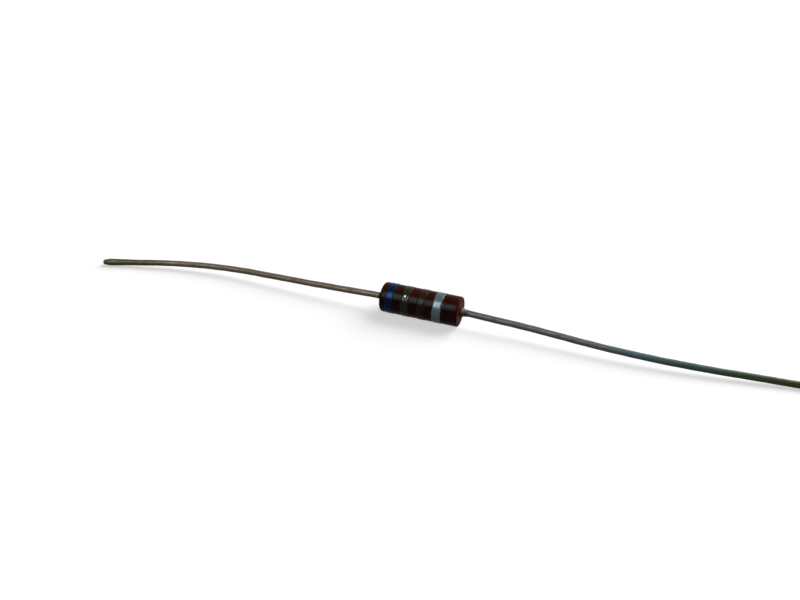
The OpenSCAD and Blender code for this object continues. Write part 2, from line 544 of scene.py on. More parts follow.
class Recipe:
    """The nodes of one material, with short calls for what the finishes are mixed from.

    Attributes:
        MOST_NOISE: Heights between which nearly all of a noise lies.
    """

    MOST_NOISE: Span = (0.3, 0.7)

    def __init__(self, name: str) -> None:
        """Makes an empty material.

        Args:
            name: Name of the material.
        """
        self.material = bpy.data.materials.new(name)
        self.material.use_nodes = True
        self.tree = self.material.node_tree
        self.shader = self.tree.nodes["Principled BSDF"]

    def node(self, kind: str, **settings: object) -> bpy.types.Node:
        """Adds a node.

        Args:
            kind: Blender's name of the node type, without its first word.
            **settings: Properties of the node.

        Returns:
            The new node.
        """
        made = self.tree.nodes.new("ShaderNode" + kind)
        for name, value in settings.items():
            setattr(made, name, value)
        return made

    def feed(self, socket: bpy.types.NodeSocket, value: object) -> None:
        """Links a socket to another's output, or sets it to a plain value.

        Args:
            socket: The socket.
            value: An output, a number, a vector or a colour.
        """
        if isinstance(value, bpy.types.NodeSocket):
            self.tree.links.new(value, socket)
        elif isinstance(value, tuple) and len(value) == 3 and socket.type == "RGBA":
            socket.default_value = (*value, 1)
        else:
            socket.default_value = value

    def place(self) -> bpy.types.NodeSocket:
        """Returns the place on the object, in mm."""
        return self.stretched(self.node("TexCoord").outputs["Object"], (1 / MM,) * 3)

    def place_on_wire(self) -> bpy.types.NodeSocket:
        """Returns the place on a wire as it was before it was bent, in mm."""
        return self.node("Attribute", attribute_name=Turning.STRAIGHTENED).outputs["Vector"]

    def stretched(self, vector: bpy.types.NodeSocket, by: Point) -> bpy.types.NodeSocket:
        """Multiplies each part of a vector.

        Args:
            vector: The vector.
            by: What X, Y and Z are multiplied by.

        Returns:
            The stretched vector.
        """
        made = self.node("VectorMath", operation="MULTIPLY")
        self.feed(made.inputs[0], vector)
        self.feed(made.inputs[1], by)
        return made.outputs[0]

    def part(self, vector: bpy.types.NodeSocket, axis: str) -> bpy.types.NodeSocket:
        """Takes one part of a vector.

        Args:
            vector: The vector.
            axis: X, Y or Z.

        Returns:
            That part.
        """
        made = self.node("SeparateXYZ")
        self.feed(made.inputs[0], vector)
        return made.outputs[axis]

    def maths(self, operation: str, *values: object) -> bpy.types.NodeSocket:
        """Does one operation on one to three values.

        Args:
            operation: Blender's name of the operation.
            *values: Numbers or outputs.

        Returns:
            The result.
        """
        made = self.node("Math", operation=operation)
        for socket, value in zip(made.inputs, values):
            self.feed(socket, value)
        return made.outputs[0]

    def times(self, first: object, second: object) -> bpy.types.NodeSocket:
        """Returns the product of two values."""
        return self.maths("MULTIPLY", first, second)

    def distance(self, place: bpy.types.NodeSocket, point: Point) -> bpy.types.NodeSocket:
        """Measures how far a place is from a point.

        Args:
            place: The place.
            point: The point.

        Returns:
            The distance.
        """
        made = self.node("VectorMath", operation="DISTANCE")
        self.feed(made.inputs[0], place)
        self.feed(made.inputs[1], point)
        return made.outputs["Value"]

    def distance_from_axis(self, place: bpy.types.NodeSocket) -> bpy.types.NodeSocket:
        """Returns how far a place is from the body's axis."""
        return self.distance(self.stretched(place, (0, 1, 1)), (0, 0, 0))

    def noise(self, place: bpy.types.NodeSocket, pattern: Pattern) -> bpy.types.NodeSocket:
        """Makes the noise of a pattern.

        Args:
            place: The place.
            pattern: The pattern.

        Returns:
            Its height there, from 0 to 1.
        """
        made = self.node("TexNoise")
        taken_at = self.stretched(place, pattern.stretch) if pattern.stretch else place
        self.feed(made.inputs["Vector"], taken_at)
        made.inputs["Scale"].default_value = pattern.scale
        made.inputs["Detail"].default_value = pattern.layers
        made.inputs["Roughness"].default_value = pattern.harshness
        return made.outputs["Fac"]

    def cells(self, place: bpy.types.NodeSocket, pattern: Pattern) -> bpy.types.NodeSocket:
        """Makes a pattern of many small cells, each with a height of its own.

        Args:
            place: The place.
            pattern: The pattern.

        Returns:
            The height of the cell there, from 0 to 1.
        """
        made = self.node("TexVoronoi", feature="F1")
        self.feed(made.inputs["Vector"], place)
        made.inputs["Scale"].default_value = pattern.scale
        return self.part(made.outputs["Color"], "X")

    def shown(self, noise: bpy.types.NodeSocket, pattern: Pattern) -> bpy.types.NodeSocket:
        """Returns how much of a pattern shows where it has this noise."""
        return self.between(noise, pattern.low, pattern.high, 0, pattern.strength)

    def rough(self, noise: bpy.types.NodeSocket, roughness: Span) -> bpy.types.NodeSocket:
        """Returns a roughness that goes from the first to the second as a noise rises."""
        return self.between(noise, *self.MOST_NOISE, *roughness)

    def across(
        self, value: bpy.types.NodeSocket, edge: float, fade: Span, most: float = 1
    ) -> bpy.types.NodeSocket:
        """Changes softly from nothing to the most across an edge.

        Args:
            value: The value that decides.
            edge: Where the edge is.
            fade: Distances past the edge at which the change starts and ends.
            most: The most.

        Returns:
            The result.
        """
        return self.between(value, edge + fade[0], edge + fade[1], 0, most)

    def between(
        self, value: object, low: float, high: float, to_low: float = 0, to_high: float = 1
    ) -> bpy.types.NodeSocket:
        """Runs smoothly from one value to another.

        Args:
            value: The value that decides.
            low: Value at which the result is to_low, as it is past it.
            high: Value at which the result is to_high, as it is past it.
            to_low: Result at the low end.
            to_high: Result at the high end.

        Returns:
            The result.
        """
        made = self.node("MapRange", interpolation_type="SMOOTHSTEP")
        self.feed(made.inputs["Value"], value)
        made.inputs["From Min"].default_value = low
        made.inputs["From Max"].default_value = high
        made.inputs["To Min"].default_value = to_low
        made.inputs["To Max"].default_value = to_high
        return made.outputs["Result"]

    def mix(self, share: object, first: object, second: object) -> bpy.types.NodeSocket:
        """Mixes two colours.

        Args:
            share: 0 for the first colour, 1 for the second.
            first: The first colour.
            second: The second colour.

        Returns:
            The mixed colour.
        """
        made = self.node("Mix", data_type="RGBA")
        colour_a, colour_b = [socket for socket in made.inputs if socket.type == "RGBA"]
        self.feed(made.inputs["Factor"], share)
        self.feed(colour_a, first)
        self.feed(colour_b, second)
        return next(socket for socket in made.outputs if socket.type == "RGBA")

    def ramp(
        self, value: bpy.types.NodeSocket, stops: Sequence[tuple[float, Colour]]
    ) -> bpy.types.NodeSocket:
        """Reads a colour off a scale of colours.

        Args:
            value: Value from 0 to 1.
            stops: Places on the scale and their colours.

        Returns:
            The colour at that value.
        """
        made = self.node("ValToRGB")
        self.feed(made.inputs["Fac"], value)
        scale = made.color_ramp.elements
        while len(scale) < len(stops):
            scale.new(1)
        for element, (at, colour) in zip(scale, stops):
            element.position = at
            element.color = (*colour, 1)
        return made.outputs["Color"]

    def bump(self, height: bpy.types.NodeSocket, depth: float) -> None:
        """Raises the surface by a pattern, over any relief that it has already.

        Args:
            height: The pattern, from 0 to 1.
            depth: Depth of the pattern in mm.
        """
        made = self.node("Bump")
        made.inputs["Strength"].default_value = 1
        made.inputs["Distance"].default_value = depth * MM
        self.feed(made.inputs["Height"], height)
        normal = self.shader.inputs["Normal"]
        if normal.is_linked:
            self.feed(made.inputs["Normal"], normal.links[0].from_socket)
        self.feed(normal, made.outputs["Normal"])

    def set(self, **values: object) -> None:
        """Sets or links inputs of the shader.

        Args:
            **values: Values by the input's name, in lower case with underscores.
        """
        for name, value in values.items():
            socket = self.shader.inputs[name.replace("_", " ").title().replace("Ior", "IOR")]
            self.feed(socket, value)


@dataclass(frozen=True)
class PhenolicFinish:
    """The jacket's dark red-brown moulding compound.

    Attributes:
        dark: Colour where the resin lies thick.
        light: Colour where the filler comes near the surface.
        speck: Colour of single grains of filler.
        rubbed: Colour of the dull end faces and rubbed rims.
        residue: Colour of the dried flux on the collars.
        gloss: Strength of the reflections.
        dull_gloss: Share of the gloss that is left on dull places.
        roughness: Roughness from the smoother to the rougher resin.
        dull_roughness: Roughness that dull places have on top.
        face_dullness: How dull an end face is, where a rubbed rim's dullness is up to 1.
        face_fade: Distances past the end face at which its dullness starts and is full.
        rim_fade: Distances past the end face at which the wear of the rim starts and is full.
        rim_depth: The same across the body, as distances past its radius.
        flux_run: Distances past the end face at which the flux starts and is thick.
        flux_spread: The same across the collar, as distances past its radius.
        flux_gaps: Heights of the rubs' noise between which a gap in the flux closes.
        flux_cover: Share of the collar that the flux hides in a gap, and where there is none.
        clouds: Pattern of thick and thin resin.
        specks: Cells of which some hold a grain of filler.
        rubs: Pattern of the wear, and of the gaps in the flux.
        sheen: Pattern of smoother and rougher resin.
        grain: Fine relief from the mould.
        pits: Relief of small pits.
    """

    dark: Colour = (0.022, 0.0026, 0.0008)
    light: Colour = (0.040, 0.0052, 0.0016)
    speck: Colour = (0.075, 0.022, 0.010)
    rubbed: Colour = (0.052, 0.0095, 0.0042)
    residue: Colour = (0.250, 0.212, 0.196)
    gloss: float = 0.026
    dull_gloss: float = 0.2
    roughness: Span = (0.19, 0.28)
    dull_roughness: float = 0.22
    face_dullness: float = 0.9
    face_fade: Span = (-0.04, -0.005)
    rim_fade: Span = (-0.35, 0.0)
    rim_depth: Span = (-0.4, -0.02)
    flux_run: Span = (-0.02, 0.3)
    flux_spread: Span = (0.04, -0.1)
    flux_gaps: Span = (0.2, 0.6)
    flux_cover: Span = (0.65, 0.95)
    clouds: Pattern = Pattern(1.1, 5, low=0.35, high=0.68)
    specks: Pattern = Pattern(14, low=0.955, high=0.985, strength=0.5)
    rubs: Pattern = Pattern(5, 4, 0.7, low=0.38, high=0.62)
    sheen: Pattern = Pattern(2.3, 4)
    grain: Pattern = Pattern(9, depth=0.006)
    pits: Pattern = Pattern(34, 2, low=0.2, high=0.34, depth=0.003)

    def build(self, half_body: float, body_r: float, collar_r: float) -> bpy.types.Material:
        """Makes the material.

        Args:
            half_body: Distance from the middle of the body to its end faces.
            body_r: Radius of the body.
            collar_r: Radius of the wider collar.

        Returns:
            The material.
        """
        recipe = Recipe("phenolic")
        place = recipe.place()
        reach = recipe.maths("ABSOLUTE", recipe.part(place, "X"))
        radius = recipe.distance_from_axis(place)
        rubs = recipe.noise(place, self.rubs)
        rim = recipe.times(
            recipe.across(reach, half_body, self.rim_fade),
            recipe.across(radius, body_r, self.rim_depth),
        )
        rubbed = recipe.times(rim, recipe.shown(rubs, self.rubs))
        face = recipe.across(reach, half_body, self.face_fade, self.face_dullness)
        dull = recipe.maths("MAXIMUM", rubbed, face)
        flux = recipe.times(
            recipe.across(reach, half_body, self.flux_run),
            recipe.across(radius, collar_r, self.flux_spread),
        )
        flux = recipe.times(flux, recipe.between(rubs, *self.flux_gaps, *self.flux_cover))
        colour = recipe.mix(dull, self._compound(recipe, place), self.rubbed)
        colour = recipe.mix(flux, colour, self.residue)
        roughness = recipe.rough(recipe.noise(place, self.sheen), self.roughness)
        roughness = recipe.maths("ADD", roughness, recipe.times(dull, self.dull_roughness))
        gloss = recipe.between(dull, 0, 1, self.gloss, self.gloss * self.dull_gloss)
        recipe.set(base_color=colour, roughness=roughness, specular_ior_level=gloss)
        recipe.bump(recipe.noise(place, self.grain), self.grain.depth)
        recipe.bump(recipe.shown(recipe.noise(place, self.pits), self.pits), self.pits.depth)
        return recipe.material

    def _compound(self, recipe: Recipe, place: bpy.types.NodeSocket) -> bpy.types.NodeSocket:
        """Mixes the clouded resin with its grains of filler.

        Args:
            recipe: The material's recipe.
            place: Place on the jacket, in mm.

        Returns:
            The colour.
        """
        thin = recipe.shown(recipe.noise(place, self.clouds), self.clouds)
        specks = recipe.shown(recipe.cells(place, self.specks), self.specks)
        return recipe.mix(specks, recipe.mix(thin, self.dark, self.light), self.speck)


@dataclass(frozen=True)
class PaintFinish:
    """The paint of one band.

    Attributes:
        slot: The record's slot.
        colour: Colour of the paint.
        thin: Colour where it lies thin and the jacket shows through.
        edge_thinness: How thin it lies along its edges, where 1 is as thin as it gets.
        edge_fade: Distances past an edge at which it starts to lie thin and is that thin.
        roughness: Roughness from the smoother to the rougher streaks.
        gloss: Strength of the reflections.
        metal: How metallic the paint is.
        flakes: Cells of which each is a metal flake, if it has any.
        flake_glint: How much brighter than the paint a flake can be.
        flake_roughness: How far a flake's roughness can differ from the paint's.
        bead: Middle of a small smooth bead where the paint gathered, if it has one.
        bead_r: Radius of that bead.
        bead_roughness: Share of the paint's roughness that the bead has.
        bead_height: Height of the bead.
        strokes: Pattern and relief of the streaks round the body.
        fringe: Pattern of the uneven edges, whose strength is their width.
        wear: Pattern of the worn places.
        grain: Fine relief of the paint.
    """

    slot: Slot
    colour: Colour
    thin: Colour
    edge_thinness: float = 0.8
    edge_fade: Span = (-0.06, 0.05)
    roughness: Span = (0.17, 0.32)
    gloss: float = 0.06
    metal: float = 0.0
    flakes: Pattern | None = None
    flake_glint: float = 1.6
    flake_roughness: float = 0.06
    bead: Point | None = None
    bead_r: float = 0.2
    bead_roughness: float = 0.4
    bead_height: float = 0.02
    strokes: Pattern = Pattern(
        1.2, 4, stretch=(6, 1, 1), low=0.35, high=0.75, strength=0.12, depth=0.008
    )
    fringe: Pattern = Pattern(7, strength=0.1)
    wear: Pattern = Pattern(3.2, 5, 0.7, low=0.63, high=0.72, strength=0.5)
    grain: Pattern = Pattern(12, depth=0.004)

    def build(self, middle: float, width: float) -> bpy.types.Material:
        """Makes the material.

        Args:
            middle: Place of the band's middle along the body.
            width: Width of the band.

        Returns:
            The material.
        """
        recipe = Recipe(self.slot.value)
        place = recipe.place()
        streaks = recipe.noise(place, self.strokes)
        off = recipe.maths("ABSOLUTE", recipe.maths("SUBTRACT", recipe.part(place, "X"), middle))
        fringe = recipe.times(recipe.noise(place, self.fringe), self.fringe.strength)
        reach = recipe.maths("ADD", off, fringe)
        edge = recipe.across(reach, width / 2, self.edge_fade, self.edge_thinness)
        worn = recipe.shown(recipe.noise(place, self.wear), self.wear)
        thin = recipe.maths("MAXIMUM", edge, worn)
        thin = recipe.maths("ADD", thin, recipe.shown(streaks, self.strokes))
        colour = recipe.mix(thin, self.colour, self.thin)
        roughness = recipe.rough(streaks, self.roughness)
        gloss: object = self.gloss
        if self.flakes:
            flakes = recipe.cells(place, self.flakes)
            bright = tuple(min(1.0, part * self.flake_glint) for part in self.colour)
            colour = recipe.mix(recipe.shown(flakes, self.flakes), colour, bright)
            uneven = recipe.between(flakes, 0, 1, -self.flake_roughness, self.flake_roughness)
            roughness = recipe.maths("ADD", roughness, uneven)
        if self.bead:
            away = recipe.distance(place, self.bead)
            smooth = recipe.between(away, self.bead_r, self.bead_r / 2)
            smoother = recipe.between(smooth, 0, 1, 1, self.bead_roughness)
            roughness = recipe.times(roughness, smoother)
            gloss = recipe.between(smooth, 0, 1, self.gloss, 1)
            recipe.bump(smooth, self.bead_height)
        recipe.set(metallic=self.metal)
        recipe.set(base_color=colour, roughness=roughness, specular_ior_level=gloss)
        recipe.bump(streaks, self.strokes.depth)
        recipe.bump(recipe.noise(place, self.grain), self.grain.depth)
        return recipe.material


@dataclass(frozen=True)
class WireFinish:
    """Tinned copper wire, tarnished unevenly along its length.

    Attributes:
        tarnish: Places along the wire, from its inner end as 0 to its outer end as 1, and the
            colours that it has there.
        spot: Colour of the dark spots.
        bare: Colour where the tin is rubbed bright.
        metal: How metallic the tarnished tin looks.
        gloss: Strength of the reflections.
        roughness: Roughness from the cleaner to the more tarnished places.
        drift: Pattern that shifts the tarnish along the wire, whose strength is how far.
        drawing: Pattern and relief of the marks left by drawing the wire.
        clouds: Pattern of darker tarnish.
        pits: Pattern of small dark pits.
        lumps: Relief of the tin.
    """

    tarnish: tuple[tuple[float, Colour], ...]
    spot: Colour = (0.028, 0.025, 0.017)
    bare: Colour = (0.15, 0.145, 0.12)
    metal: float = 0.3
    gloss: float = 0.12
    roughness: Span = (0.36, 0.56)
    drift: Pattern = Pattern(0.35, low=0.2, high=0.8, strength=0.05)
    drawing: Pattern = Pattern(
        11, 4, stretch=(0.12, 1, 1), low=0.55, high=0.75, strength=0.28, depth=0.008
    )
    clouds: Pattern = Pattern(1.3, 5, 0.65, low=0.52, high=0.75, strength=0.5)
    pits: Pattern = Pattern(8, 3, 0.6, low=0.64, high=0.72, strength=0.6)
    lumps: Pattern = Pattern(3.5, 4, depth=0.016)

    def build(self, name: str, length: float) -> bpy.types.Material:
        """Makes the material.

        Args:
            name: Name of the material.
            length: Length of the wire.

        Returns:
            The material.
        """
        recipe = Recipe(name)
        place = recipe.place_on_wire()
        along = recipe.times(recipe.part(place, "X"), 1 / length)
        drift = recipe.noise(place, self.drift)
        most = self.drift.strength
        shift = recipe.between(drift, self.drift.low, self.drift.high, -most, most)
        colour = recipe.ramp(recipe.maths("ADD", along, shift), self.tarnish)
        clouds = recipe.noise(place, self.clouds)
        draw_marks = recipe.noise(place, self.drawing)
        pits = recipe.noise(place, self.pits)
        colour = recipe.mix(recipe.shown(clouds, self.clouds), colour, self.spot)
        colour = recipe.mix(recipe.shown(draw_marks, self.drawing), colour, self.bare)
        colour = recipe.mix(recipe.shown(pits, self.pits), colour, self.spot)
        recipe.set(base_color=colour, roughness=recipe.rough(clouds, self.roughness))
        recipe.set(metallic=self.metal, specular_ior_level=self.gloss)
        recipe.bump(draw_marks, self.drawing.depth)
        recipe.bump(recipe.noise(place, self.lumps), self.lumps.depth)
        return recipe.material


@dataclass(frozen=True)
class CarbonFinish:
    """The element's black, slightly grainy carbon composition.

    Attributes:
        grain: Colour of the grains.
        binder: Colour of the resin between them.
        gloss: Strength of the reflections.
        roughness: Roughness from the resin to the grains.
        grains: Pattern and relief of the grains.
    """

    grain: Colour = (0.035, 0.034, 0.033)
    binder: Colour = (0.008, 0.008, 0.008)
    gloss: float = 0.3
    roughness: Span = (0.6, 0.85)
    grains: Pattern = Pattern(12, 4, 0.7, low=0.4, high=0.7, depth=0.02)

    def build(self) -> bpy.types.Material:
        """Makes the material.

        Returns:
            The material.
        """
        recipe = Recipe("carbon_composition")
        grains = recipe.noise(recipe.place(), self.grains)
        colour = recipe.mix(recipe.shown(grains, self.grains), self.binder, self.grain)
        recipe.set(base_color=colour, roughness=recipe.rough(grains, self.roughness))
        recipe.set(specular_ior_level=self.gloss)
        recipe.bump(grains, self.grains.depth)
        return recipe.material


@dataclass(frozen=True)
class FloorFinish:
    """The plain white surface under the part.

    Attributes:
        seen: Colour that the camera and reflections see.
        felt: Colour that scatters light back onto the part.
        lift: Light added near the part where it is seen, so that it shows white there.
        near: Distance from the part at which more light starts to be added, in mm.
        far: Distance from which it is white by itself, as far as it goes.
        roughness: Its roughness.
        gloss: Strength of the reflections.
    """

    seen: Colour = (0.5, 0.5, 0.5)
    felt: Colour = (0.12, 0.12, 0.12)
    lift: float = 0.58
    near: float = 80.0
    far: float = 320.0
    roughness: float = 0.9
    gloss: float = 0.0

    def build(self) -> bpy.types.Material:
        """Makes the material, which can be seen through from below.

        Returns:
            The material.
        """
        recipe = Recipe("white_surface")
        seen = seen_rays(recipe.tree)
        away = recipe.distance(recipe.place(), (0, 0, 0))
        lift = recipe.between(away, self.near, self.far, self.lift, 1)
        below = recipe.node("NewGeometry").outputs["Backfacing"]
        recipe.set(
            base_color=recipe.mix(seen, self.felt, self.seen),
            roughness=self.roughness,
            specular_ior_level=self.gloss,
            emission_color=WHITE,
            emission_strength=recipe.times(seen, lift),
            alpha=recipe.maths("SUBTRACT", 1, below),
        )
        return recipe.material


def seen_rays(tree: bpy.types.NodeTree) -> bpy.types.NodeSocket:
    """Tells rays that show a background from scattered light.

    Args:
        tree: Node tree that the nodes go into.

    Returns:
        1 for rays from the camera, a reflection or glass, and 0 for scattered light.
    """
    path = tree.nodes.new("ShaderNodeLightPath")
    total = path.outputs["Is Camera Ray"]
    for name in ("Is Glossy Ray", "Is Transmission Ray"):
        both = tree.nodes.new("ShaderNodeMath")
        both.operation = "MAXIMUM"
        tree.links.new(total, both.inputs[0])
        tree.links.new(path.outputs[name], both.inputs[1])
        total = both.outputs[0]
    return total


def mount(piece: bpy.types.Object, material: bpy.types.Material, slot: Slot, node: str) -> None:
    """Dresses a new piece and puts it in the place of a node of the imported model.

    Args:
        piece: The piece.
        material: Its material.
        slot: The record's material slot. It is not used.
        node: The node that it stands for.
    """
    piece.data.materials.append(material)
    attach(piece, "root")
    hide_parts(node)


def body_axis() -> Centreline:
    """Makes the line along the body's axis.

    Returns:
        The line. A distance on it is a place along X.
    """
    line = Centreline(Vector((0, 0, 0)), Vector((1, 0, 0)))
    line.straight(1)
    return line


@dataclass(frozen=True)
class JacketEnd:
    """The form of the jacket at one end.

    Attributes:
        side: Which end it is.
        rim_r: Rounding of its rim.
        collar_r: Radius of its collar at the end face.
        collar_len: Length of its collar.
    """

    side: Side
    rim_r: float
    collar_r: float
    collar_len: float

    @property
    def face(self) -> float:
        """Place of the end face along the body."""
        return self.side.value * HALF_BODY

    @property
    def lip(self) -> float:
        """Place of the collar's thin end along the body."""
        return self.side.value * (HALF_BODY + self.collar_len)

    def collar_arc(self, lip_r: float) -> tuple[ProfilePoint, float]:
        """Works out the hollow side of the collar, which ends along the wire.

        Args:
            lip_r: Outer radius of the collar at its thin end.

        Returns:
            The centre of the arc, and its angle at the end face.
        """
        rise = self.collar_r - lip_r
        hollow_r = (self.collar_len**2 + rise**2) / (2 * rise)
        sweep = math.degrees(math.asin(self.collar_len / hollow_r))
        return (self.lip, lip_r + hollow_r), TOWARD_AXIS - self.side.value * sweep


@dataclass
class Jacket:
    """The moulded jacket, hollow where the element and the leads lie, with its two collars.

    Attributes:
        name: Name of the piece.
        node: The node that it stands for.
        left: Its left end.
        right: Its right end.
        body_r: Its outer radius.
        half_cavity: Half the length of the space for the element.
        cavity_r: Radius of that space.
        cavity_rim_r: Rounding of that space's ends.
        bore_r: Radius of the holes that the leads come out of.
        collar_lip_r: Outer radius of a collar at its thin end.
        collar_parts: Number of straight parts in a collar's hollow side.
        sides: Number of sides of a full turn.
        longest_step: Longest step along the outline.
        finish: Its finish.
    """

    name: str = "jacket"
    node: str = "insulating_jacket"
    left: JacketEnd = JacketEnd(Side.LEFT, rim_r=0.35, collar_r=0.53, collar_len=0.5)
    right: JacketEnd = JacketEnd(Side.RIGHT, rim_r=0.22, collar_r=0.62, collar_len=0.85)
    body_r: float = BODY_R
    half_cavity: float = HALF_BODY - END_WALL
    cavity_r: float = 0.95
    cavity_rim_r: float = 0.18
    bore_r: float = WIRE_R + MOULDING_GAP
    collar_lip_r: float = 0.42
    collar_parts: int = 14
    sides: int = BODY_SIDES
    longest_step: float = 0.3
    finish: PhenolicFinish = PhenolicFinish()

    def profile(self) -> Profile:
        """Draws the jacket's wall.

        Returns:
            The closed outline, from the left collar's lip over the outside and back inside.
        """
        left, right = self.left, self.right
        outline = Profile(left.lip, self.bore_r).line(left.lip, self.collar_lip_r)
        centre, at_face = left.collar_arc(self.collar_lip_r)
        outline.arc(centre, TOWARD_AXIS, at_face, self.collar_parts)
        outline.line(left.face, self.body_r - left.rim_r, self.longest_step)
        outline.rim(left.face, self.body_r, left.rim_r, True)
        outline.line(right.face - right.rim_r, self.body_r, self.longest_step)
        outline.rim(right.face, self.body_r, right.rim_r, False)
        outline.line(right.face, right.collar_r, self.longest_step)
        centre, at_face = right.collar_arc(self.collar_lip_r)
        outline.arc(centre, at_face, TOWARD_AXIS, self.collar_parts)
        outline.line(right.lip, self.bore_r)
        self._draw_cavity(outline)
        return outline.line(left.lip, self.bore_r)

    def _draw_cavity(self, outline: Profile) -> None:
        """Draws the wall round the element, from right to left.

        Args:
            outline: The outline that it is added to.
        """
        rim_at = self.half_cavity - self.cavity_rim_r
        rim_r = self.cavity_r - self.cavity_rim_r
        outline.line(self.half_cavity, self.bore_r).line(self.half_cavity, rim_r)
        outline.arc((rim_at, rim_r), 0, 90).line(-rim_at, self.cavity_r)
        outline.arc((-rim_at, rim_r), 90, 180).line(-self.half_cavity, self.bore_r)

    def build(self) -> bpy.types.Object:
        """Makes the jacket.

        Returns:
            The piece.
        """
        piece = Turning(self.name, self.profile(), body_axis(), self.sides).build()
        wider = max(self.left.collar_r, self.right.collar_r)
        mount(piece, self.finish.build(HALF_BODY, self.body_r, wider), Slot.JACKET, self.node)
        return piece


@dataclass
class Element:
    """The hidden slug of carbon composition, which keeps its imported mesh.

    Attributes:
        node: Its node.
        finish: Its finish.
    """

    node: str = "resistive_element"
    finish: CarbonFinish = CarbonFinish()

    def build(self) -> bpy.types.Object:
        """Gives the element its finish.

        Returns:
            The piece.
        """
        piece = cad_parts[self.node]
        piece.data.materials.clear()
        piece.data.materials.append(self.finish.build())
        return piece


@dataclass
class PaintedBand:
    """One ring of paint on the jacket.

    Attributes:
        name: Name of the piece.
        node: The node that it stands for.
        middle: Place of its middle along the body.
        width: Its width.
        finish: Its finish.
        start: Angle that sets where its edges waver.
        seat_r: Radius of the jacket that it is painted on.
        thickness: Thickness of the paint.
        edge: Width of its thin sloping edges.
        waver: How far its edges waver.
        sides: Number of sides of a full turn.
        longest_step: Longest step along the outline.
    """

    name: str
    node: str
    middle: float
    width: float
    finish: PaintFinish
    start: float
    seat_r: float = BODY_R
    thickness: float = 0.03
    edge: float = 0.06
    waver: float = 0.035
    sides: int = BODY_SIDES
    longest_step: float = 0.12

    def profile(self) -> Profile:
        """Draws the ring's section.

        Returns:
            The closed outline.
        """
        left = self.middle - self.width / 2 + self.waver
        right = self.middle + self.width / 2 - self.waver
        crown_r = self.seat_r + self.thickness
        outline = Profile(left, self.seat_r).line(left + self.edge, crown_r)
        outline.line(right - self.edge, crown_r, self.longest_step)
        return outline.line(right, self.seat_r).line(left, self.seat_r)

    def build(self) -> bpy.types.Object:
        """Makes the band.

        Returns:
            The piece.
        """
        ripples = [
            Ripple(self.waver, ((2, self.start), (5, 2 * self.start), (11, 3 * self.start))),
            Ripple(self.waver, ((3, self.start + 1), (7, self.start + 2), (13, self.start))),
        ]
        turning = Turning(self.name, self.profile(), body_axis(), self.sides)
        piece = turning.build(shift=ripples)
        mount(piece, self.finish.build(self.middle, self.width), self.finish.slot, self.node)
        return piece


